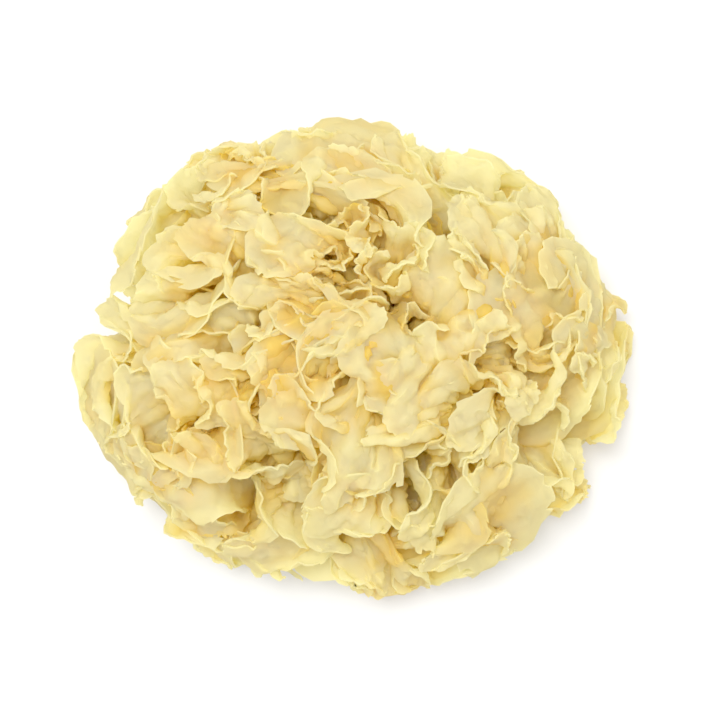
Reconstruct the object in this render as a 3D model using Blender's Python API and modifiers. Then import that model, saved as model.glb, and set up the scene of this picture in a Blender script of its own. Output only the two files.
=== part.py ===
# A head of dried snow fungus: ruffled fronds that fan out from a hard, trimmed base.
# Lengths are in metres and +Z is up. The origin is the centre of the base's flat cut face.
# Each frond is one thin sheet, set out in directions from the heart, a point inside the base.
# The rings of fronds keep to their own bands of lean from the vertical, so they never meet.
# Neighbours in a ring overlap at their sides, where one leans out and the next one leans in.

import math
import random

import bmesh
import bpy
from mathutils import Vector

# Outer form of the head
HEAD_WIDTH = 0.0965
HEAD_DEPTH = 0.082
CROWN_RISE = 0.0345
HEART_HEIGHT = 0.0115

# Hard base: a round core that carries the fronds, and a gnarled stub below it
CORE_RADIUS = 0.0100
CUT_RADIUS = 0.0138
STUB_SWELL = 0.0041
STUB_LUMP = 0.07
CUT_SHARE = 0.8
BASE_SEGMENTS = 28
BASE_RINGS = 14

# Sheet of a frond, whose foot stands off the core by the gap
FROND_THICKNESS = 0.0011
FOOT_GAP = 0.0003
FROND_COLUMNS = 16
FROND_ROWS = 4
ROW_GATHER = 0.8
FOOT_SHARE = 0.36
FLARE_GROWTH = 1.25
RUFFLE_GROWTH = 1.35
EDGE_CALM = 0.93
CORNER_DROP = 0.12
MARGIN_WAVE = 0.09
MARGIN_TURN = 6.2

# Slow bend of the whole head, and the crown's eye set off to one side
HEAD_SWAY = 0.0026
SWAY_PITCH = 0.015
EYE_SHIFT = Vector((-0.22, 0.14, 0.0))

# Rings from the crown's middle outwards. Angles are in degrees, and leans are from the vertical
RINGS = (
    {"name": "centre", "count": 2, "half_fan": 83.6, "foot_lean": 8, "tip_lean": 13, "ruffle": 6.6},
    {"name": "core", "count": 3, "half_fan": 65.5, "foot_lean": 19, "tip_lean": 32, "ruffle": 7.8},
    {"name": "inner", "count": 5, "half_fan": 40.7, "foot_lean": 33, "tip_lean": 52, "ruffle": 8.2},
    {"name": "middle", "count": 7, "half_fan": 29.0, "foot_lean": 50, "tip_lean": 72, "ruffle": 8.2},
    {"name": "outer", "count": 8, "half_fan": 25.3, "foot_lean": 68, "tip_lean": 92.3, "ruffle": 7.6},
)
FIRST_BEARING = 25
RING_TURN = 37
TILT = 6.8

# How far one frond may differ from the next
WIDTH_SPREAD = (0.8, 1.25)
LEAN_SPREAD = (-1.0, 1.0)
RUFFLE_SPREAD = (0.85, 1.0)
REACH_SPREAD = (0.91, 1.0)
RUFFLE_COUNT = (2.1, 3.0)
RUFFLE_DRIFT = (-1.4, 1.4)
SEED = 40


def clear_scene():
    for item in list(bpy.data.objects):
        bpy.data.objects.remove(item)


def make_material(name, colour, roughness):
    material = bpy.data.materials.new(name)
    material.use_nodes = True
    shader = material.node_tree.nodes["Principled BSDF"]
    shader.inputs["Base Color"].default_value = (*colour, 1.0)
    shader.inputs["Roughness"].default_value = roughness
    shader.inputs["Metallic"].default_value = 0.0
    return material


def add_object(name, shape, material, collection):
    """Turns a bmesh into a smooth object of the collection."""
    bmesh.ops.recalc_face_normals(shape, faces=shape.faces)
    mesh = bpy.data.meshes.new(name)
    shape.to_mesh(mesh)
    shape.free()
    mesh.materials.append(material)
    mesh.shade_smooth()
    item = bpy.data.objects.new(name, mesh)
    collection.objects.link(item)
    return item


def polar_point(distance, lean, bearing):
    """The point at this distance from the heart, lean from the vertical, and bearing from +X."""
    flat = distance * math.sin(lean)
    return Vector((flat * math.cos(bearing), flat * math.sin(bearing), distance * math.cos(lean)))


def crown_distance(lean, bearing):
    """How far the head's outer form lies from its heart, in one direction."""
    way = polar_point(1, lean, bearing)
    across, along, up = way.x / (HEAD_WIDTH / 2), way.y / (HEAD_DEPTH / 2), way.z / CROWN_RISE
    return 1 / math.sqrt(across**2 + along**2 + up**2)


def swayed(point, share):
    """The point after the head's slow bend, which is nothing at a frond's foot."""
    x, y, z = point / SWAY_PITCH
    bend = Vector((math.sin(y + 0.7), math.sin(x + 2.1 + 0.6 * z), 0.6 * math.sin(x - y + 1.3)))
    return point + bend * HEAD_SWAY * share**2


def frond_point(frond, u, v):
    """A point of a frond's sheet: u runs across it from -1 to 1, and v from its foot to its margin."""
    spread = FOOT_SHARE + (1 - FOOT_SHARE) * math.sin(v * math.pi / 2)
    bearing = frond["bearing"] + frond["half_fan"] * u * spread
    fold = math.sin(math.pi * frond["ruffles"] * u + frond["phase"] + frond["drift"] * v)
    ruffle = frond["ruffle"] * fold * v**RUFFLE_GROWTH * (1 - EDGE_CALM * u * u)
    flare = (frond["tip_lean"] - frond["foot_lean"]) * v**FLARE_GROWTH
    lean = frond["foot_lean"] + flare + frond["tilt"] * u * v + ruffle
    margin = 1 - CORNER_DROP * u**4 + MARGIN_WAVE * math.sin(MARGIN_TURN * u + 2 * frond["phase"])
    foot = CORE_RADIUS + FOOT_GAP
    reach = crown_distance(lean, bearing) * frond["reach"] * margin
    point = polar_point(foot + (reach - foot) * v, lean, bearing)
    return swayed(point + EYE_SHIFT * point.z * v, v)


def ring_fronds(ring, start, chance):
    """One ring's fronds, with angles in radians. Their widths differ, and together fill the ring."""
    widths = [chance.uniform(*WIDTH_SPREAD) for _ in range(ring["count"])]
    bearing = start
    fronds = []
    for number, width in enumerate(widths):
        share = width / sum(widths)
        bearing += 180 * share
        fronds.append(
            {
                "name": f"frond_{ring['name']}_{number + 1}",
                "bearing": math.radians(bearing),
                "half_fan": math.radians(ring["half_fan"] * share * ring["count"]),
                "foot_lean": math.radians(ring["foot_lean"]),
                "tip_lean": math.radians(ring["tip_lean"] + chance.uniform(*LEAN_SPREAD)),
                "ruffle": math.radians(ring["ruffle"] * chance.uniform(*RUFFLE_SPREAD)),
                "tilt": math.radians(TILT),
                "ruffles": chance.uniform(*RUFFLE_COUNT),
                "phase": chance.uniform(0, 2 * math.pi),
                "drift": chance.uniform(*RUFFLE_DRIFT),
                "reach": chance.uniform(*REACH_SPREAD),
            }
        )
        bearing += 180 * share
    return fronds


def all_fronds():
    chance = random.Random(SEED)
    fronds = []
    for number, ring in enumerate(RINGS):
        fronds += ring_fronds(ring, FIRST_BEARING + RING_TURN * number, chance)
    return fronds


def make_frond(frond, heart, material, collection):
    sheet = bmesh.new()
    bmesh.ops.create_grid(sheet, x_segments=FROND_COLUMNS, y_segments=FROND_ROWS, size=1.0)
    for vertex in sheet.verts:
        u, v = vertex.co.x, (vertex.co.y + 1) / 2
        vertex.co = frond_point(frond, u, v**ROW_GATHER)
    item = add_object(frond["name"], sheet, material, collection)
    item.parent = heart
    skin = item.modifiers.new("thickness", "SOLIDIFY")
    skin.thickness = FROND_THICKNESS
    skin.offset = 0


def base_point(way):
    """A point of the base, seen from the heart in this direction. The stub runs on below the cut."""
    lean = math.acos(max(-1.0, min(1.0, way.z)))
    below = lean / (math.pi / 2) - 1
    if below <= 0:
        return Vector((0, 0, HEART_HEIGHT)) + way * CORE_RADIUS
    bearing = math.atan2(way.y, way.x)
    down = below / CUT_SHARE
    lumps = math.sin(5 * bearing + 1.2) + 0.6 * math.sin(9 * bearing + 5 * below)
    radius = CORE_RADIUS + (CUT_RADIUS - CORE_RADIUS) * down
    radius += STUB_SWELL * math.sin(math.pi * min(down, 1.0) ** 0.75)
    radius *= 1 + STUB_LUMP * lumps * min(1.0, 2 * below)
    at_pole = below > 0.999
    return Vector(
        (
            0 if at_pole else radius * math.cos(bearing),
            0 if at_pole else radius * math.sin(bearing),
            HEART_HEIGHT * (1 - down),
        )
    )


def make_base(material, collection):
    ball = bmesh.new()
    bmesh.ops.create_uvsphere(ball, u_segments=BASE_SEGMENTS, v_segments=BASE_RINGS, radius=1.0)
    for vertex in ball.verts:
        vertex.co = base_point(vertex.co.normalized())
    everything = ball.verts[:] + ball.edges[:] + ball.faces[:]
    cut = bmesh.ops.bisect_plane(
        ball, geom=everything, plane_co=(0, 0, 0), plane_no=(0, 0, 1), clear_inner=True
    )
    rim = [item for item in cut["geom_cut"] if isinstance(item, bmesh.types.BMEdge)]
    bmesh.ops.contextual_create(ball, geom=rim)
    add_object("base", ball, material, collection)


def main():
    clear_scene()
    collection = bpy.data.collections.new("snow_fungus")
    bpy.context.scene.collection.children.link(collection)
    frond_finish = make_material("dried_frond", (0.90, 0.76, 0.44), 0.55)
    base_finish = make_material("trimmed_base", (0.74, 0.50, 0.20), 0.65)
    make_base(base_finish, collection)
    heart = bpy.data.objects.new("heart", None)
    heart.location.z = HEART_HEIGHT
    collection.objects.link(heart)
    for frond in all_fronds():
        make_frond(frond, heart, frond_finish, collection)


main()
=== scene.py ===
import math
import random

import bmesh
import bpy
import numpy as np
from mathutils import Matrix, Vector
from mathutils.bvhtree import BVHTree


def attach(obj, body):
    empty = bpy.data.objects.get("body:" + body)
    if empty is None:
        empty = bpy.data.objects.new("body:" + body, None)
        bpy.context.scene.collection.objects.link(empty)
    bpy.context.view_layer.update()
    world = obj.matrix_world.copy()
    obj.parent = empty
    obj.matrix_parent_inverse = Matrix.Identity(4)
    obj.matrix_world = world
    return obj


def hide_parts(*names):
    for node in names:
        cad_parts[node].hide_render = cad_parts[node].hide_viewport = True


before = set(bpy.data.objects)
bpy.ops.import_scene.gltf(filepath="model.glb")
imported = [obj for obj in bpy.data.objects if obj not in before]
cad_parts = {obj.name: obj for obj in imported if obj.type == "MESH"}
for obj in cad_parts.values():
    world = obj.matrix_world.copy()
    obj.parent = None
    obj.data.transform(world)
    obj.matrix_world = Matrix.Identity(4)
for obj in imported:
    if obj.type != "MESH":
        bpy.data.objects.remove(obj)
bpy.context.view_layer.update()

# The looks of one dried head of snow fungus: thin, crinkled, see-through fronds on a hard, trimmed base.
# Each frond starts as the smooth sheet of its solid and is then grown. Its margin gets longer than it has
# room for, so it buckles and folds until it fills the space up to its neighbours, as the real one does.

# The head's form and rings, as the part has them: metres, and degrees of lean from the vertical
headForm = {
    "width": 0.0965, "depth": 0.082, "rise": 0.0345, "heart": 0.0115,
    "core": 0.0100, "footGap": 0.0003,
    "sway": 0.0026, "swayPitch": 0.015, "eyeShift": (-0.22, 0.14, 0.0),
    "seed": 40, "firstBearing": 25, "ringTurn": 37, "tilt": 6.8,
    "widths": (0.8, 1.25), "leans": (-1.0, 1.0), "ruffleSizes": (0.85, 1.0),
    "reaches": (0.91, 1.0), "ruffleCounts": (2.1, 3.0), "drifts": (-1.4, 1.4),
    "footShare": 0.36, "flareGrowth": 1.25, "ruffleGrowth": 1.35, "edgeCalm": 0.93,
    "cornerDrop": 0.12, "marginWave": 0.09, "marginTurn": 6.2,
}
rings = (
    {"name": "centre", "count": 2, "halfFan": 83.6, "footLean": 8, "tipLean": 13, "ruffle": 6.6},
    {"name": "core", "count": 3, "halfFan": 65.5, "footLean": 19, "tipLean": 32, "ruffle": 7.8},
    {"name": "inner", "count": 5, "halfFan": 40.7, "footLean": 33, "tipLean": 52, "ruffle": 8.2},
    {"name": "middle", "count": 7, "halfFan": 29.0, "footLean": 50, "tipLean": 72, "ruffle": 8.2},
    {"name": "outer", "count": 8, "halfFan": 25.3, "footLean": 68, "tipLean": 92.3, "ruffle": 7.6},
)


def allFronds():
    # the same draws in the same order as the part, so that each frond starts in its solid
    chance = random.Random(headForm["seed"])
    fronds = []
    for number, ring in enumerate(rings):
        widths = [chance.uniform(*headForm["widths"]) for _ in range(ring["count"])]
        bearing = headForm["firstBearing"] + headForm["ringTurn"] * number
        for index, width in enumerate(widths):
            share = width / sum(widths)
            bearing += 180 * share
            fronds.append({
                "name": f"frond_{ring['name']}_{index + 1}",
                "ring": number,
                "bearing": math.radians(bearing),
                "halfFan": math.radians(ring["halfFan"] * share * ring["count"]),
                "footLean": math.radians(ring["footLean"]),
                "tipLean": math.radians(ring["tipLean"] + chance.uniform(*headForm["leans"])),
                "ruffle": math.radians(ring["ruffle"] * chance.uniform(*headForm["ruffleSizes"])),
                "tilt": math.radians(headForm["tilt"]),
                "ruffles": chance.uniform(*headForm["ruffleCounts"]),
                "phase": chance.uniform(0, 2 * math.pi),
                "drift": chance.uniform(*headForm["drifts"]),
                "reach": chance.uniform(*headForm["reaches"]),
            })
            bearing += 180 * share
    return fronds


def polarPoints(distance, lean, bearing):
    flat = distance * np.sin(lean)
    return np.stack([flat * np.cos(bearing), flat * np.sin(bearing), distance * np.cos(lean)], -1)


formHalves = np.array([headForm["width"] / 2, headForm["depth"] / 2, headForm["rise"]])
eyeShift = np.array(headForm["eyeShift"])


def crownDistance(lean, bearing):
    # how far the outer form lies from the heart, in each direction
    return 1 / np.sqrt(((polarPoints(1.0, lean, bearing) / formHalves) ** 2).sum(-1))


def swayed(points, share):
    x, y, z = np.moveaxis(points / headForm["swayPitch"], -1, 0)
    bend = np.stack([np.sin(y + 0.7), np.sin(x + 2.1 + 0.6 * z), 0.6 * np.sin(x - y + 1.3)], -1)
    return points + bend * headForm["sway"] * share[..., None] ** 2


def sheetPoints(frond, u, v, lift=0.0, lobes=1.0):
    # u runs across a frond from -1 to 1 and v from foot to margin; lift leans the sheet towards the crown
    form = headForm
    spread = form["footShare"] + (1 - form["footShare"]) * np.sin(v * math.pi / 2)
    bearing = frond["bearing"] + frond["halfFan"] * u * spread
    fold = np.sin(math.pi * frond["ruffles"] * u + frond["phase"] + frond["drift"] * v)
    ruffle = frond["ruffle"] * fold * v ** form["ruffleGrowth"] * (1 - form["edgeCalm"] * u * u)
    flare = (frond["tipLean"] - frond["footLean"]) * v ** form["flareGrowth"]
    lean = frond["footLean"] + flare + frond["tilt"] * u * v + ruffle - lift
    margin = 1 - form["cornerDrop"] * u**4
    margin = margin + form["marginWave"] * np.sin(form["marginTurn"] * u + 2 * frond["phase"])
    foot = form["core"] + form["footGap"]
    reach = crownDistance(lean, bearing) * frond["reach"] * margin * lobes
    points = polarPoints(foot + (reach - foot) * v, lean, bearing)
    return swayed(points + eyeShift * (points[..., 2] * v)[..., None], v)


def smoothNoise(points, size, seed):
    # a smooth noise of about -1 to 1, from a few waves in random directions
    chance = np.random.default_rng(seed)
    total = np.zeros(points.shape[:-1])
    for _ in range(8):
        way = chance.normal(size=points.shape[-1])
        way *= 2 * math.pi / size * chance.uniform(0.55, 1.6) / np.linalg.norm(way)
        total += np.sin(points @ way + chance.uniform(0, 2 * math.pi))
    return total / 2.8


# Growth: each frond is a grid of points held by springs, whose lengths at rest get longer as it grows
# It starts at startReach of its form, and then swells to formSize, under what has pressed on the crown
growth = {
    "rows": 20, "columns": 48, "gather": 0.85,
    "startReach": 0.93, "lobeDepth": 0.18, "lobeSize": 0.55, "warp": 0.0022, "warpSize": 0.045,
    "formSize": 1.01, "lump": 0.05, "lumpSize": 1.3, "press": 0.0465, "floor": 0.0014,
    "grip": 0.45, "drag": 0.80, "fastest": 0.0006, "smooth": 0.02,
    "spacingGrip": 0.5, "pairReach": 1.35, "restApart": 1.6, "refind": 4, "seed": 11,
}
# Second sheets that fork from the face of a frond: how many on a frond of each ring, and their lean off it
branching = {
    "counts": (1, 1, 1, 2, 2), "rows": 12, "columns": 26,
    "from": (0.36, 0.6), "across": (0.34, 0.52), "fan": 1.25,
    "lift": (7.0, 10.0), "under": (5.0, 9.0), "reach": (0.84, 0.99), "seed": 23,
}
# Cuts that part a margin into lobes
cutting = {
    "counts": (1, 3), "from": (0.45, 0.8), "branchCounts": (0, 2), "branchFrom": (0.4, 0.8),
    "beside": 4, "seed": 31,
}
# First the whole sheet folds, then only its margins frill, on a grid twice as fine
folds = {
    "name": "folds", "steps": 150, "settle": 30, "jitter": 0.00012,
    "across": 1.05, "acrossPower": 1.6, "margin": 0.0, "marginDepth": 0.003,
    "patch": 0.55, "patchSize": 0.012, "bendKeep": 0.90, "bendGrip": 0.30,
    "span": 6, "spanKeep": 0.8, "spanGrip": 0.25,
    "tall": 5, "tallKeep": 0.94, "tallGrip": 0.45, "spacing": 0.0016,
}
frills = {
    "name": "frills", "steps": 45, "settle": 12, "jitter": 0.00006,
    "across": 0.0, "acrossPower": 1.0, "margin": 0.7, "marginDepth": 0.0022,
    "patch": 0.55, "patchSize": 0.007, "bendKeep": 0.90, "bendGrip": 0.30,
    "span": 4, "spanKeep": 0.7, "spanGrip": 0.10,
    "tall": 2, "tallKeep": 0.7, "tallGrip": 0.10, "spacing": 0.0010,
}


def gridOf(rows, columns):
    reach = np.linspace(0, 1, rows) ** growth["gather"]
    v, u = np.meshgrid(reach, np.linspace(-1, 1, columns), indexing="ij")
    return u, v


def warped(points, share):
    # pushes the sheets about in one smooth way, so that they meander and don't all point at one eye
    push = [smoothNoise(points, growth["warpSize"], growth["seed"] + axis) for axis in range(3)]
    return points + growth["warp"] * np.stack(push, -1) * share[..., None]


def startPoints(frond, u, v, lift, reach, freeShare, lobeSeed):
    # the lobes of a margin vary along it alone, so the second coordinate of their noise is 0
    along = np.stack([u, v * 0], -1)
    lobes = growth["lobeDepth"] * smoothNoise(along, growth["lobeSize"], lobeSeed) * freeShare**2
    return warped(sheetPoints(frond, u, v, lift, (growth["startReach"] + lobes) * reach), v)


def mainSheets(fronds):
    u, v = gridOf(growth["rows"], growth["columns"])
    points = [startPoints(frond, u, v, 0.0, 1.0, v, 100 + number) for number, frond in enumerate(fronds)]
    count = len(fronds)
    return {
        "points": np.stack(points), "reach": np.stack([v] * count), "across": np.stack([u] * count),
        "owner": np.arange(count),
    }


def branchSheets(fronds):
    # each branch keeps the row and columns of the frond that it forks from
    chance = random.Random(branching["seed"])
    s, t = gridOf(branching["rows"], branching["columns"])
    bed = {"points": [], "reach": [], "across": [], "owner": [], "rootRow": [], "rootPlace": []}
    for number, frond in enumerate(fronds):
        count = branching["counts"][frond["ring"]]
        for index in range(count):
            row = round(chance.uniform(*branching["from"]) * (growth["rows"] - 1))
            fromV = (row / (growth["rows"] - 1)) ** growth["gather"]
            half = chance.uniform(*branching["across"])
            middle = (index + 0.5) / count * 2 - 1 + chance.uniform(-0.15, 0.15)
            middle = max(-1 + half, min(1 - half, middle))
            under = frond["ring"] == len(rings) - 1 and index % 2 == 1
            lift = -chance.uniform(*branching["under"]) if under else chance.uniform(*branching["lift"])
            reach = chance.uniform(*branching["reach"])
            u = np.clip(middle + half * s * (1 + (branching["fan"] - 1) * t), -1, 1)
            v = fromV + (1 - fromV) * t
            seed = 300 + len(bed["points"])
            bed["points"].append(startPoints(frond, u, v, np.radians(lift) * t**0.8, reach, t, seed))
            bed["reach"].append(v)
            bed["across"].append(u)
            bed["owner"].append(number)
            bed["rootRow"].append(row)
            bed["rootPlace"].append((middle + half * s[0] + 1) / 2 * (growth["columns"] - 1))
    return {field: np.array(values) for field, values in bed.items()}


def addCuts(bed, chance, counts, cutFrom):
    # a cut is its sheet, the column whose faces go, and the row where it starts
    sheets, rows, columns = bed["points"].shape[:3]
    bed["cuts"] = []
    for sheet in range(sheets):
        for _ in range(chance.randint(*counts)):
            column = chance.randint(cutting["beside"], columns - 2 - cutting["beside"])
            bed["cuts"].append((sheet, column, round(chance.uniform(*cutFrom) * rows)))


def marginDistance(bed):
    # how far each point lies from the nearest free margin: the last row, the sides and both sides of a cut
    points = bed["points"]
    rows, columns = points.shape[1:3]
    tall = np.linalg.norm(np.diff(points, axis=1), axis=-1).mean((1, 2))[:, None, None]
    wide = np.linalg.norm(np.diff(points, axis=2), axis=-1).mean((1, 2))[:, None, None]
    row, column = np.arange(rows)[:, None], np.arange(columns)[None, :]
    distance = np.minimum((rows - 1 - row) * tall, np.minimum(column, columns - 1 - column) * wide)
    for sheet, cut, start in bed["cuts"]:
        beside = np.where(column <= cut, cut - column, column - cut - 1) * wide[sheet]
        below = np.maximum(start - row, 0) * tall[sheet]
        distance[sheet] = np.minimum(distance[sheet], np.hypot(beside, below))
    return distance


def springsOf(bed, stage):
    # springs across, along and on both diagonals, then struts over more cells that keep a fold from closing
    points = bed["points"]
    rows, columns = points.shape[1:3]
    patchy = 1 + stage["patch"] * smoothNoise(points, stage["patchSize"], growth["seed"])
    atMargin = stage["margin"] * np.exp(-marginDistance(bed) / stage["marginDepth"])
    wide = (stage["across"] * bed["reach"] ** stage["acrossPower"] + atMargin) * patchy
    tall = atMargin * patchy
    # cells across and along, share of the length at rest that is kept, grip, and whether it only pushes
    kinds = (
        (1, 0, 1.0, growth["grip"], False),
        (0, 1, 1.0, growth["grip"], False),
        (1, 1, 1.0, growth["grip"] / 2, False),
        (-1, 1, 1.0, growth["grip"] / 2, False),
        (2, 0, stage["bendKeep"], stage["bendGrip"], True),
        (0, 2, stage["bendKeep"], stage["bendGrip"], True),
        (stage["span"], 0, stage["spanKeep"], stage["spanGrip"], True),
        (0, stage["tall"], stage["tallKeep"], stage["tallGrip"], True),
    )
    every = slice(None)
    springs = []
    for across, along, keep, grip, onlyShort in kinds:
        left, right = max(-across, 0), max(across, 0)
        a = (every, slice(0, rows - along), slice(left, columns - right))
        b = (every, slice(along, rows), slice(right, columns - left))
        length = np.linalg.norm(points[b] - points[a], axis=-1)
        cross = np.linalg.norm(points[every, a[1], b[2]] - points[a], axis=-1)
        share = np.clip(cross / np.maximum(length, 1e-9), 0, 1) ** 2
        gain = share * (wide[a] + wide[b]) / 2 + (1 - share) * (tall[a] + tall[b]) / 2
        hold = np.full_like(length, grip)
        for sheet, column, row in bed["cuts"]:
            if across:
                hold[sheet, row:, max(column - abs(across) + 1, 0):column + 1] = 0
        springs.append((a, b, length * keep, length * keep * gain, hold, onlyShort))
    return springs


def closePairs(points, restPoints, owner, radius, apart):
    # pairs of points that lie near each other in space, but not along one sheet
    cell = np.floor(points / radius).astype(np.int64)
    cell -= cell.min(0) - 1
    size = cell.max(0) + 2
    key = (cell[:, 0] * size[1] + cell[:, 1]) * size[2] + cell[:, 2]
    order = np.argsort(key, kind="stable")
    ordered, place = key[order], np.arange(len(key))
    firsts, seconds = [], []
    steps = [(x, y, z) for x in (0, 1) for y in (-1, 0, 1) for z in (-1, 0, 1) if (x, y, z) >= (0, 0, 0)]
    for x, y, z in steps:
        target = ordered + (x * size[1] + y) * size[2] + z
        low = place + 1 if (x, y, z) == (0, 0, 0) else np.searchsorted(ordered, target, "left")
        count = np.maximum(np.searchsorted(ordered, target, "right") - low, 0)
        first = np.repeat(place, count)
        offset = np.repeat(low - np.concatenate([[0], np.cumsum(count)[:-1]]), count)
        firsts.append(order[first])
        seconds.append(order[offset + np.arange(len(first))])
    first, second = np.concatenate(firsts), np.concatenate(seconds)
    near = ((points[first] - points[second]) ** 2).sum(-1) < radius**2
    first, second = first[near], second[near]
    away = ((restPoints[first] - restPoints[second]) ** 2).sum(-1) > apart**2
    keep = (owner[first] != owner[second]) | away
    return first[keep], second[keep]


def pushApart(flat, pairs, spacing):
    # moves points of two sheets apart where they are closer than their spacing
    first, second = pairs
    gap = flat[second] - flat[first]
    length = np.linalg.norm(gap, axis=-1)
    short = np.minimum(length - spacing, 0) / np.maximum(length, 1e-9)
    push = gap * (0.5 * growth["spacingGrip"] * short)[:, None]
    crowd = np.bincount(first, short < 0, len(flat)) + np.bincount(second, short < 0, len(flat))
    share = 1 / np.maximum(crowd / 2, 1)
    for axis in range(3):
        moved = np.bincount(first, push[:, axis], len(flat)) - np.bincount(second, push[:, axis], len(flat))
        flat[:, axis] += moved * share


def keepInForm(flat):
    # inside the head's lumpy outer form, above the floor and under what has pressed on the crown
    lean = flat[:, 2:3] * eyeShift
    ratio = np.linalg.norm((flat - lean) / formHalves, axis=-1, keepdims=True) / growth["formSize"]
    outside = np.nonzero(ratio[:, 0] > 1 - 2 * growth["lump"])[0]
    way = flat[outside] / np.linalg.norm(flat[outside], axis=-1, keepdims=True)
    dents = growth["lump"] * np.clip(smoothNoise(way, growth["lumpSize"], growth["seed"]), 0, 2)
    over = ratio[outside] / (1 - dents[:, None])
    inward = np.where(over > 1, 1 + 0.5 * (1 / over - 1), 1)
    flat[outside] = (flat[outside] - lean[outside]) * inward + lean[outside]
    lowest, highest = growth["floor"] - headForm["heart"], growth["press"] - headForm["heart"]
    flat[:, 2] = np.clip(flat[:, 2], lowest, highest)


def growSheets(beds, stage):
    chance = np.random.default_rng(growth["seed"])
    springs = [springsOf(bed, stage) for bed in beds]
    points = [bed["points"].copy() for bed in beds]
    sizes = [p.size // 3 for p in points]
    owner = np.concatenate([np.repeat(bed["owner"], bed["reach"][0].size) for bed in beds])
    restFlat = np.concatenate([p.reshape(-1, 3) for p in points])
    feet = points[0][:, :2].copy()
    speed = [np.zeros_like(p) for p in points]
    branches = beds[1]
    rootLeft = np.clip(np.floor(branches["rootPlace"]).astype(int), 0, points[0].shape[2] - 2)
    rootShare = (branches["rootPlace"] - rootLeft)[..., None]
    parent = branches["owner"][:, None], branches["rootRow"][:, None]
    for step in range(stage["steps"] + stage["settle"]):
        grown = min(1.0, (step + 1) / stage["steps"])
        before = []
        for number, bed in enumerate(beds):
            now = points[number]
            if step < stage["steps"]:
                now = now + chance.normal(scale=stage["jitter"], size=now.shape) * bed["reach"][..., None]
            before.append(now)
            now = now + speed[number] * growth["drag"]
            change = np.zeros_like(now)
            for a, b, rest, gain, hold, onlyShort in springs[number]:
                gap = now[b] - now[a]
                length = np.linalg.norm(gap, axis=-1)
                error = (length - rest - grown * gain) / np.maximum(length, 1e-9)
                if onlyShort:
                    error = np.minimum(error, 0)
                move = gap * (0.5 * hold * error)[..., None]
                change[a] += move
                change[b] -= move
            now = now + change
            inner = now[:, 1:-1, 1:-1]
            mean = (now[:, 2:, 1:-1] + now[:, :-2, 1:-1] + now[:, 1:-1, 2:] + now[:, 1:-1, :-2]) / 4
            now[:, 1:-1, 1:-1] = inner + growth["smooth"] * (mean - inner)
            points[number] = now
        flat = np.concatenate([p.reshape(-1, 3) for p in points])
        if step % growth["refind"] == 0:
            near, apart = stage["spacing"] * growth["pairReach"], stage["spacing"] * growth["restApart"]
            pairs = closePairs(flat, restFlat, owner, near, apart)
        pushApart(flat, pairs, stage["spacing"])
        keepInForm(flat)
        points = [part.reshape(p.shape) for part, p in zip(np.split(flat, sizes[:1]), points)]
        points[0][:, :2] = feet
        left, right = points[0][parent + (rootLeft,)], points[0][parent + (rootLeft + 1,)]
        points[1][:, 0] = left + rootShare * (right - left)
        speed = [np.clip(p - b, -growth["fastest"], growth["fastest"]) for p, b in zip(points, before)]
    for bed, p in zip(beds, points):
        bed["points"] = p
    print(stage["name"], "grown on", len(flat), "points")


def halfway(grid, axis):
    # the grid with one more point between each two along an axis
    grid = np.moveaxis(grid, axis, 0)
    fine = np.empty((2 * len(grid) - 1,) + grid.shape[1:])
    fine[::2] = grid
    fine[1::2] = (grid[:-1] + grid[1:]) / 2
    return np.moveaxis(fine, 0, axis)


def refine(beds):
    for bed in beds:
        for field in ("points", "reach", "across"):
            bed[field] = halfway(halfway(bed[field], 1), 2)
        cuts = [(sheet, 2 * column, 2 * row) for sheet, column, row in bed["cuts"]]
        bed["cuts"] = cuts + [(sheet, column + 1, row) for sheet, column, row in cuts]
    beds[1]["rootRow"] = 2 * beds[1]["rootRow"]
    beds[1]["rootPlace"] = halfway(2 * beds[1]["rootPlace"], 1)


# How open each point is: rays to all sides, and how far they get before they meet a sheet; the finish
# paints shade into the hollows from it
opening = {"rays": 20, "start": 0.0004, "far": 0.012}


def allFaces(bed, start):
    # the faces of every grid of the bed, less those that its cuts take
    sheets, rows, columns = bed["points"].shape[:3]
    keep = np.ones((sheets, rows - 1, columns - 1), bool)
    for sheet, column, row in bed["cuts"]:
        keep[sheet, row:, column] = False
    sheet, row, column = np.nonzero(keep)
    corner = start + (sheet * rows + row) * columns + column
    return np.stack([corner, corner + 1, corner + columns + 1, corner + columns], -1)


def findOpenness(beds):
    # cast from every second point, because openness changes slowly along a sheet
    flat = np.concatenate([bed["points"].reshape(-1, 3) for bed in beds])
    faces = np.concatenate([allFaces(beds[0], 0), allFaces(beds[1], beds[0]["points"].size // 3)])
    tree = BVHTree.FromPolygons(flat.tolist(), faces.tolist())
    number = np.arange(opening["rays"]) + 0.5
    height = 1 - 2 * number / opening["rays"]
    turn = math.pi * (1 + math.sqrt(5)) * number
    flatness = np.sqrt(1 - height**2)
    ways = [Vector(way) for way in np.stack([flatness * np.cos(turn), flatness * np.sin(turn), height], -1)]
    far = opening["far"]
    for bed in beds:
        some = bed["points"][:, ::2, ::2]
        opens = np.zeros(some.shape[:3])
        for place in np.ndindex(opens.shape):
            spot = Vector(some[place])
            for way in ways:
                length = tree.ray_cast(spot + way * opening["start"], way, far)[3]
                opens[place] += 1.0 if length is None else length / far
        bed["open"] = halfway(halfway(opens / opening["rays"], 1), 2)
    print("openness found from", len(ways), "rays a point")


def outwardWays(points, distance):
    # at each point, the way along the sheet to its nearest free margin
    up, right = np.gradient(points, axis=0), np.gradient(points, axis=1)
    outward = np.zeros_like(points)
    for slope, way in zip(np.gradient(distance), (up, right)):
        outward -= slope[..., None] * way / np.maximum((way**2).sum(-1, keepdims=True), 1e-12)
    return outward / np.maximum(np.linalg.norm(outward, axis=-1, keepdims=True), 1e-9)


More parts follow.
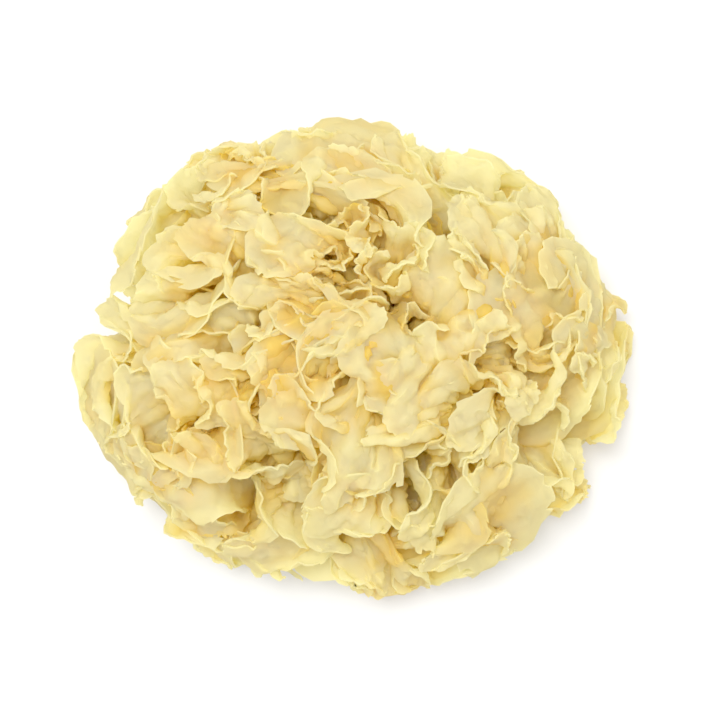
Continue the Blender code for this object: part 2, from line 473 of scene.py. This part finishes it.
def meshOfSheets(name, sheets):
    # one mesh of several grids, whose points keep where they lie on a frond and how open they are
    verts, faces, start = [], [], 0
    fields = {"reach": [], "across": [], "margin": [], "open": [], "outward": []}
    for number, sheet in enumerate(sheets):
        rows, columns = sheet["margin"].shape
        verts.append(sheet["points"].reshape(-1, 3))
        fields["reach"].append(sheet["reach"].ravel())
        fields["across"].append(sheet["across"].ravel() + 5 * number)
        fields["margin"].append(sheet["margin"].ravel())
        fields["open"].append(sheet["open"].ravel())
        fields["outward"].append(outwardWays(sheet["points"], sheet["margin"]).reshape(-1, 3))
        keep = np.ones((rows - 1, columns - 1), bool)
        for column, row in sheet["cuts"]:
            keep[row:, column] = False
        r, c = np.nonzero(keep)
        corner = start + r * columns + c
        faces.append(np.stack([corner, corner + 1, corner + columns + 1, corner + columns], -1))
        start += rows * columns
    used, places = np.unique(np.concatenate(faces), return_inverse=True)
    mesh = bpy.data.meshes.new(name)
    mesh.from_pydata(np.concatenate(verts)[used].tolist(), [], places.reshape(-1, 4).tolist())
    for label, values in fields.items():
        values = np.concatenate(values)[used].astype(np.float32)
        kind, key = ("FLOAT_VECTOR", "vector") if values.ndim > 1 else ("FLOAT", "value")
        mesh.attributes.new(label, kind, "POINT").data.foreach_set(key, values.ravel())
    item = bpy.data.objects.new(name, mesh)
    bpy.context.scene.collection.objects.link(item)
    return item


class Wire:
    # a socket that sums can be done on: each one adds its Math node
    def __init__(self, board, socket):
        self.board, self.socket = board, socket

    def sum(self, operation, first, second=0.0):
        return self.board.add("ShaderNodeMath", {"operation": operation}, {0: first, 1: second})

    def __add__(self, other):
        return self.sum("ADD", self, other)

    def __sub__(self, other):
        return self.sum("SUBTRACT", self, other)

    def __mul__(self, other):
        return self.sum("MULTIPLY", self, other)

    def __truediv__(self, other):
        return self.sum("DIVIDE", self, other)

    def __gt__(self, other):
        return self.sum("GREATER_THAN", self, other)

    def __lt__(self, other):
        return self.sum("LESS_THAN", self, other)

    def __abs__(self):
        return self.sum("ABSOLUTE", self)

    def __radd__(self, other):
        return self.sum("ADD", other, self)

    def __rsub__(self, other):
        return self.sum("SUBTRACT", other, self)

    def __rmul__(self, other):
        return self.sum("MULTIPLY", other, self)

    def __rtruediv__(self, other):
        return self.sum("DIVIDE", other, self)


class Board:
    # one node tree, shader or geometry, and the one method that adds a node to it
    def __init__(self, tree):
        self.tree = tree

    def add(self, kind, settings=None, inputs=None, out=0):
        node = self.tree.nodes.new(kind)
        for name, value in (settings or {}).items():
            setattr(node, name, value)
        for socket, value in (inputs or {}).items():
            if isinstance(value, Wire):
                self.tree.links.new(value.socket, node.inputs[socket])
            else:
                node.inputs[socket].default_value = value
        return Wire(self, node.outputs[out])

    def ease(self, value, low, high):
        # a smooth step of the value from 0 at low to 1 at high
        limits = {0: value, 1: low, 2: high, 3: 0.0, 4: 1.0}
        return self.add("ShaderNodeMapRange", {"interpolation_type": "SMOOTHSTEP"}, limits)

    def place(self, x=0.0, y=0.0, z=0.0):
        return self.add("ShaderNodeCombineXYZ", {}, {0: x, 1: y, 2: z})

    def noise(self, vector, size, detail=2.0, rough=0.5, twist=0.0):
        # the size of the noise's spots is in the vector's own units
        inputs = {"Vector": vector, "Scale": 1 / size, "Detail": detail, "Roughness": rough}
        return self.add("ShaderNodeTexNoise", {}, dict(inputs, Distortion=twist))

    def ridges(self, noise):
        # folds a noise about its middle, which makes winding ridges of about -0.5 to 0.5
        return 0.5 - abs(noise - 0.5) * 5.0

    def scaled(self, vector, amount):
        return self.add("ShaderNodeVectorMath", {"operation": "SCALE"}, {0: vector, 3: amount})

    def blend(self, factor, first, second, mode="MIX"):
        # colours go through a Mix node
        second = second if isinstance(second, Wire) else (*second, 1)
        settings = {"data_type": "RGBA", "blend_type": mode}
        return self.add("ShaderNodeMix", settings, {0: factor, 6: first, 7: second}, 2)

    def mixed(self, factor, first, second):
        return self.add("ShaderNodeMixShader", {}, {0: factor, 1: first, 2: second})

    def glow(self, tint, normal):
        # light of one colour that shines through a thin sheet
        return self.add("ShaderNodeBsdfTranslucent", {}, {"Color": (*tint, 1), "Normal": normal})

    def without(self, domain, geometry, selection):
        inputs = {"Geometry": geometry, "Selection": selection}
        return self.add("GeometryNodeDeleteGeometry", {"domain": domain}, inputs)

    def field(self, label, kind="FLOAT"):
        return self.add("GeometryNodeInputNamedAttribute", {"data_type": kind}, {"Name": label})

    def attribute(self, label):
        return self.add("ShaderNodeAttribute", {"attribute_name": label}, out=2)


def newGeometryTree(name, sizes):
    # a geometry tree with one named input for each size, and one for the finish
    tree = bpy.data.node_groups.new(name, "GeometryNodeTree")
    tree.interface.new_socket("Geometry", in_out="INPUT", socket_type="NodeSocketGeometry")
    tree.interface.new_socket("Geometry", in_out="OUTPUT", socket_type="NodeSocketGeometry")
    for label, value in sizes.items():
        kind = "NodeSocketInt" if isinstance(value, int) else "NodeSocketFloat"
        tree.interface.new_socket(label, in_out="INPUT", socket_type=kind)
    tree.interface.new_socket("Finish", in_out="INPUT", socket_type="NodeSocketMaterial")
    board = Board(tree)
    entry = tree.nodes.new("NodeGroupInput")
    return board, {socket.name: Wire(board, socket) for socket in entry.outputs if socket.name}


def endGeometryTree(board, geometry, finish):
    # nothing is left as an instance, and the finish is on it
    real = board.add("GeometryNodeRealizeInstances", {}, {"Geometry": geometry})
    finished = board.add("GeometryNodeSetMaterial", {}, {"Geometry": real, "Material": finish})
    leave = board.tree.nodes.new("NodeGroupOutput")
    board.tree.links.new(finished.socket, leave.inputs[0])
    return board.tree


def addTree(item, tree, values):
    # the tree as a modifier, its inputs set by their sockets' identifiers
    modifier = item.modifiers.new(tree.name, "NODES")
    modifier.node_group = tree
    for socket in tree.interface.items_tree:
        if socket.in_out == "INPUT" and socket.name in values:
            modifier[socket.identifier] = values[socket.name]


def plainMesh(item):
    # the item's evaluated mesh in place of its modifiers
    graph = bpy.context.evaluated_depsgraph_get()
    mesh = bpy.data.meshes.new_from_object(item.evaluated_get(graph), depsgraph=graph)
    old = item.data
    item.modifiers.clear()
    item.vertex_groups.clear()
    item.data = mesh
    bpy.data.meshes.remove(old)
    mesh.name = item.name
    mesh.shade_smooth()


# Fine form of a frond: ridges, puckers and pleats in its sheet, and a lobed, toothed margin
fray = {
    "Level": 2,
    "Crinkle Depth": 0.0008, "Crinkle Size": 0.0050,
    "Pucker Depth": 0.0003, "Pucker Size": 0.0016,
    "Pleat Depth": 0.0010, "Pleat Width": 0.055,
    "Ripple Depth": 0.0007, "Ripple Size": 0.0024, "Ripple Reach": 0.0028,
    "Lobe Length": 0.0016, "Lobe Size": 0.0045, "Lobe Reach": 0.006,
    "Tooth Length": 0.0011, "Tooth Size": 0.0010, "Tooth Reach": 0.0015,
    "Tear Depth": 0.0025, "Tear Size": 0.0032, "Crumb Points": 2000,
}


def makeFrayTree():
    board, given = newGeometryTree("wrinkle and fray", fray)
    inputs = {"Mesh": given["Geometry"], "Level": given["Level"]}
    fine = board.add("GeometryNodeSubdivisionSurface", {"boundary_smooth": "ALL"}, inputs)
    reach, across, margin = (board.field(label) for label in ("reach", "across", "margin"))
    outward = board.field("outward", "FLOAT_VECTOR")
    spot = board.add("GeometryNodeInputPosition")
    normal = board.add("GeometryNodeInputNormal")

    def spots(kind):
        # a noise of about -1 to 1 over the size that this kind of detail has
        return (board.noise(spot, given[kind + " Size"], 1.0) - 0.5) * 2.0

    def beside(kind):
        # 1 at a free margin and 0 from this kind's reach inwards
        return 1 - board.ease(margin, 0.0, given[kind + " Reach"])

    pleatPlace = board.place(across / given["Pleat Width"], reach * 2.5)
    rise = board.ridges(board.noise(spot, given["Crinkle Size"], 1.0, 0.5, 0.5)) * given["Crinkle Depth"]
    rise += board.ridges(board.noise(spot, given["Pucker Size"], 1.0, 0.5, 0.3)) * given["Pucker Depth"]
    rise += board.ridges(board.noise(pleatPlace, 1.0, 1.0, 0.5, 0.3)) * given["Pleat Depth"]
    rise += spots("Ripple") * given["Ripple Depth"] * beside("Ripple")
    longer = spots("Lobe") * given["Lobe Length"] * beside("Lobe")
    longer += spots("Tooth") * given["Tooth Length"] * beside("Tooth")
    lifted = board.scaled(normal, rise * board.ease(reach, 0.05, 0.6))
    offset = board.add("ShaderNodeVectorMath", {}, {0: lifted, 1: board.scaled(outward, longer)})
    shaped = board.add("GeometryNodeSetPosition", {}, {"Geometry": fine, "Offset": offset})
    torn = (spots("Tear") - 0.25) * given["Tear Depth"] > margin
    ragged = board.without("FACE", shaped, torn)
    # a piece that a tear cuts free is a crumb, and goes
    island = board.add("GeometryNodeInputMeshIsland")
    inputs = {"Value": 1.0, "Group ID": island}
    points = board.add("GeometryNodeAccumulateField", {"domain": "POINT"}, inputs, 2)
    whole = board.without("POINT", ragged, points < given["Crumb Points"])
    return endGeometryTree(board, whole, given["Finish"])


# Finish of the fronds: pale, see-through margins with a painted highlight on their rims, over golden
# hollows whose gold is painted shade, partly the tissue's own deeper amber
frondLook = {
    "body": (0.985, 0.885, 0.355), "pale": (0.995, 0.945, 0.57), "gold": (0.98, 0.775, 0.125),
    "paleFrom": (0.50, 0.97), "streakWidth": 0.04, "streakFrom": (0.5, 0.75), "streakShare": 0.35,
    "rimHighlightWidth": 0.003, "rimHighlightShare": 0.6,
    "stainSize": 0.006, "stainFrom": (0.42, 0.72), "stainShare": 0.12,
    "cloudSize": 0.014, "cloudFrom": (0.48, 0.70), "cloudShare": 0.66,
    "hollowShadeOpen": (0.14, 0.52), "hollowShadeShare": 0.9,
    "roughness": (0.36, 0.58), "roughSize": 0.0011, "gloss": 0.4, "glow": (0.55, 0.75),
    "grainSize": 0.0007, "veinWidth": 0.014, "veinShare": 1.4, "bump": 0.4, "bumpDepth": 0.00014,
}


def either(first, second):
    # two shares taken together, so that the sum stays below 1
    return 1 - (1 - first) * (1 - second)


def newFinish(name):
    material = bpy.data.materials.new(name)
    material.use_nodes = True
    return material, Board(material.node_tree), material.node_tree.nodes["Principled BSDF"]


def makeFrondFinish():
    look = frondLook
    material, board, shader = newFinish("dried_frond_finish")
    reach, across = board.attribute("reach"), board.attribute("across")
    margin, opened = board.attribute("margin"), board.attribute("open")
    spot = board.add("ShaderNodeTexCoord", out=3)
    streaks = board.noise(board.place(across / look["streakWidth"], reach * 2.5), 1.0, 3.0, 0.6)
    streaks = board.ease(streaks, *look["streakFrom"]) * look["streakShare"]
    # a painted highlight: the sheet is paler within a few millimetres of a free margin, where thin edges
    # catch the light
    rimHighlight = (1 - board.ease(margin, 0.0, look["rimHighlightWidth"])) * look["rimHighlightShare"]
    pale = either(either(board.ease(reach, *look["paleFrom"]), streaks), rimHighlight)
    mottle = board.ease(board.noise(spot, look["stainSize"], 3.0, 0.6, 0.4), *look["stainFrom"])
    clouds = board.ease(board.noise(spot, look["cloudSize"], 2.0, 0.5, 0.3), *look["cloudFrom"])
    # painted shade: golden where few rays get out of the hollows, partly the tissue's own deeper amber
    hollowShade = (1 - board.ease(opened, *look["hollowShadeOpen"])) * look["hollowShadeShare"]
    golden = either(mottle * look["stainShare"], clouds * look["cloudShare"]) * (1 - rimHighlight)
    # the painted shade of the hollows joins the real stains and clouds
    golden = either(golden, hollowShade)
    low, high = look["roughness"]
    rough = low + board.noise(spot, look["roughSize"], 2.0) * (high - low)
    grain = board.noise(spot, look["grainSize"], 3.0, 0.65)
    veins = board.noise(board.place(across / look["veinWidth"], reach * 9.0), 1.0, 2.0, 0.6)
    relief = grain + veins * look["veinShare"]
    inputs = {"Height": relief, "Strength": look["bump"], "Distance": look["bumpDepth"]}
    bump = board.add("ShaderNodeBump", {}, inputs)
    # the same two shares tint the face and what shines through it, whose shaders hold one colour each
    colour = board.blend(golden, board.blend(pale, (*look["body"], 1), look["pale"]), look["gold"])
    glows = [board.glow(look[tint], bump) for tint in ("body", "pale", "gold")]
    glowing = board.mixed(golden, board.mixed(pale, glows[0], glows[1]), glows[2])
    links = material.node_tree.links
    links.new(colour.socket, shader.inputs["Base Color"])
    links.new(rough.socket, shader.inputs["Roughness"])
    links.new(bump.socket, shader.inputs["Normal"])
    shader.inputs["Specular IOR Level"].default_value = look["gloss"]
    low, high = look["glow"]
    share = low + board.ease(reach, 0.1, 0.9) * (high - low)
    both = board.mixed(share, Wire(board, shader.outputs[0]), glowing)
    links.new(both.socket, material.node_tree.nodes["Material Output"].inputs[0])
    return material


# Wall of a frond: thinner from here to its margin, and the share of the fine faces that it keeps
wall = {"thickness": 0.0006, "thinnest": 0.45, "thinFrom": 0.008, "keepFaces": 0.22, "crease": 50}


def addWall(item):
    # a closed wall on both sides of the sheet, by a group that holds how thick it is at each point
    margins = np.zeros(len(item.data.vertices), np.float32)
    item.data.attributes["margin"].data.foreach_get("value", margins)
    body = item.vertex_groups.new(name="body")
    for index, distance in enumerate(margins):
        body.add([index], float(min(distance / wall["thinFrom"], 1)), "REPLACE")
    fewer = item.modifiers.new("fewer faces", "DECIMATE")
    fewer.ratio = wall["keepFaces"]
    solid = item.modifiers.new("wall", "SOLIDIFY")
    solid.thickness = wall["thickness"]
    solid.offset = 0
    solid.vertex_group = body.name
    solid.thickness_vertex_group = wall["thinnest"]


def makeFronds(beds, fronds):
    tree, finish = makeFrayTree(), makeFrondFinish()
    total = 0
    for number, frond in enumerate(fronds):
        sheets = []
        for bed in beds:
            for index in np.nonzero(bed["owner"] == number)[0]:
                fields = ("points", "reach", "across", "margin", "open")
                sheet = {field: bed[field][index] for field in fields}
                sheet["cuts"] = [(column, row) for where, column, row in bed["cuts"] if where == index]
                sheets.append(sheet)
        item = meshOfSheets(frond["name"] + "_skin", sheets)
        addTree(item, tree, dict(fray, Finish=finish))
        addWall(item)
        plainMesh(item)
        item.data.set_sharp_from_angle(angle=math.radians(wall["crease"]))
        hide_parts(frond["name"])
        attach(item, "root")
        total += len(item.data.polygons)
    print(len(fronds), "fronds of", total, "faces")


def growHead():
    # the first bed holds the fronds' own sheets, and the second those that fork from them
    fronds = allFronds()
    beds = [mainSheets(fronds), branchSheets(fronds)]
    cutChance = random.Random(cutting["seed"])
    addCuts(beds[0], cutChance, cutting["counts"], cutting["from"])
    addCuts(beds[1], cutChance, cutting["branchCounts"], cutting["branchFrom"])
    growSheets(beds, folds)
    refine(beds)
    growSheets(beds, frills)
    for bed in beds:
        bed["margin"] = marginDistance(bed)
        bed["points"] = bed["points"] + np.array([0, 0, headForm["heart"]])
    findOpenness(beds)
    makeFronds(beds, fronds)


growHead()

# Base: a gnarled golden knob, trimmed flat, which the feet of the fronds grow into
base = {
    "core": 0.0107, "cutRadius": 0.0138, "swell": 0.0041, "lump": 0.07, "cutShare": 0.8, "fineness": 6,
    "gnarl": 0.0010, "gnarlSize": 0.006, "knot": 0.0005, "knotSize": 0.0022,
    "pit": 0.0006, "pitSize": 0.0019, "pitEdge": 6, "fadeHeight": 0.002,
    "light": (0.76, 0.50, 0.11), "dark": (0.34, 0.16, 0.03), "cutColour": (0.62, 0.37, 0.075),
    "patchSize": 0.004, "fibreSize": 0.0009, "grainSize": 0.0008, "cutHeight": (0.0002, 0.0009),
    "bump": 0.6, "bumpDepth": 0.0003,
}


def basePoints(ways):
    # the part's own base, in each direction from the heart, with its cut face drawn in to a point
    lean = np.arccos(np.clip(ways[:, 2], -1, 1))
    bearing = np.arctan2(ways[:, 1], ways[:, 0])
    below = np.clip(lean / (math.pi / 2) - 1, 0, 1)
    down = np.minimum(below / base["cutShare"], 1)
    radius = base["core"] + (base["cutRadius"] - base["core"]) * down
    radius += base["swell"] * np.sin(math.pi * down**0.75)
    lumps = np.sin(5 * bearing + 1.2) + 0.6 * np.sin(9 * bearing + 5 * below)
    radius *= 1 + base["lump"] * lumps * np.minimum(1, 2 * below)
    inner = np.clip((1 - below) / (1 - base["cutShare"]), 0, 1)
    height = headForm["heart"] * (1 - down)
    side = np.stack([np.cos(bearing) * radius, np.sin(bearing) * radius, height], -1)
    side[:, :2] *= inner[:, None]
    top = ways * base["core"] + np.array([0, 0, headForm["heart"]])
    return np.where(below[:, None] > 0, side, top), inner


def makeBaseFinish():
    material, board, shader = newFinish("trimmed_base_finish")
    spot = board.add("ShaderNodeTexCoord", out=3)
    height = board.add("ShaderNodeSeparateXYZ", {}, {0: spot}, 2)
    patches = board.ease(board.noise(spot, base["patchSize"], 3.0, 0.6, 0.5), 0.38, 0.66)
    colour = board.blend(patches, (*base["dark"], 1), base["light"])
    fibres = board.ease(board.noise(spot, base["fibreSize"], 3.0, 0.7, 1.0), 0.5, 0.7)
    colour = board.blend(fibres * 0.4, colour, base["light"])
    onCut = 1 - board.ease(height, *base["cutHeight"])
    colour = board.blend(onCut * (0.35 + patches * 0.4), colour, base["cutColour"])
    grain = board.noise(spot, base["grainSize"], 4.0, 0.7, 0.6)
    inputs = {"Height": grain, "Strength": base["bump"], "Distance": base["bumpDepth"]}
    bump = board.add("ShaderNodeBump", {}, inputs)
    links = material.node_tree.links
    links.new(colour.socket, shader.inputs["Base Color"])
    links.new((0.55 + grain * 0.3).socket, shader.inputs["Roughness"])
    links.new(bump.socket, shader.inputs["Normal"])
    return material


def makeBase():
    ball = bmesh.new()
    bmesh.ops.create_icosphere(ball, subdivisions=base["fineness"], radius=1.0)
    ways = np.array([vertex.co.normalized() for vertex in ball.verts])
    points, inner = basePoints(ways)
    gnarls = base["gnarl"] * smoothNoise(points, base["gnarlSize"], 5)
    gnarls += base["knot"] * smoothNoise(points, base["knotSize"], 6)
    swollen = points + ways * (gnarls * np.clip(points[:, 2] / base["fadeHeight"], 0, 1))[:, None]
    pits = base["pit"] * np.clip(smoothNoise(points, base["pitSize"], 7), 0, 1)
    pits *= np.clip((1 - inner) * base["pitEdge"], 0, 1)
    swollen[:, 2] = np.maximum(swollen[:, 2], 0) + pits
    for vertex, point in zip(ball.verts, swollen):
        vertex.co = point
    mesh = bpy.data.meshes.new("base_skin")
    ball.to_mesh(mesh)
    ball.free()
    mesh.shade_smooth()
    mesh.materials.append(makeBaseFinish())
    item = bpy.data.objects.new("base_skin", mesh)
    bpy.context.scene.collection.objects.link(item)
    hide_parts("base")
    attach(item, "root")
    print("base of", len(mesh.polygons), "faces")


makeBase()

# Floor, light and camera
studio = {
    "sky": 0.82, "floor": (0.86, 0.86, 0.855), "floorStain": (0.83, 0.83, 0.825),
    "key": 5.5, "keyPlace": (-0.14, 0.18, 0.9), "keySize": 0.3,
    "fill": 0.65, "fillPlace": (0.7, -0.3, 0.6), "fillSize": 0.6,
    "lens": 85, "height": 0.31, "gamma": 1.42, "bounces": 6,
}


def makeFloor():
    sheet = bmesh.new()
    bmesh.ops.create_grid(sheet, x_segments=1, y_segments=1, size=1.5)
    mesh = bpy.data.meshes.new("floor")
    sheet.to_mesh(mesh)
    sheet.free()
    material, board, shader = newFinish("floor_finish")
    cloud = board.noise(board.add("ShaderNodeTexCoord", out=3), 0.12, 3.0)
    colour = board.blend(board.ease(cloud, 0.3, 0.7), (*studio["floor"], 1), studio["floorStain"])
    board.tree.links.new(colour.socket, shader.inputs["Base Color"])
    shader.inputs["Roughness"].default_value = 0.7
    mesh.materials.append(material)
    floor = bpy.data.objects.new("floor", mesh)
    bpy.context.scene.collection.objects.link(floor)


def softLight(name, place, size, power):
    lamp = bpy.data.lights.new(name, "AREA")
    lamp.size = size
    lamp.energy = power
    item = bpy.data.objects.new(name, lamp)
    item.location = place
    item.rotation_euler = (Vector((0, 0, 0.02)) - Vector(place)).to_track_quat("-Z", "Y").to_euler()
    bpy.context.scene.collection.objects.link(item)


def setStudio():
    makeFloor()
    world = bpy.data.worlds.new("studio")
    bpy.context.scene.world = world
    world.use_nodes = True
    sky = world.node_tree.nodes.get("Background") or world.node_tree.nodes.new("ShaderNodeBackground")
    sky.inputs[0].default_value = (1, 1, 1, 1)
    sky.inputs[1].default_value = studio["sky"]
    softLight("key", studio["keyPlace"], studio["keySize"], studio["key"])
    softLight("fill", studio["fillPlace"], studio["fillSize"], studio["fill"])
    camera = bpy.data.objects.new("camera", bpy.data.cameras.new("camera"))
    camera.data.lens = studio["lens"]
    camera.location = (0, 0, studio["height"])
    bpy.context.scene.collection.objects.link(camera)
    bpy.context.scene.camera = camera
    bpy.context.scene.view_settings.view_transform = "Standard"
    bpy.context.scene.view_settings.gamma = studio["gamma"]
    bpy.context.scene.cycles.diffuse_bounces = studio["bounces"]
    print("floor, light and camera set")


setStudio()
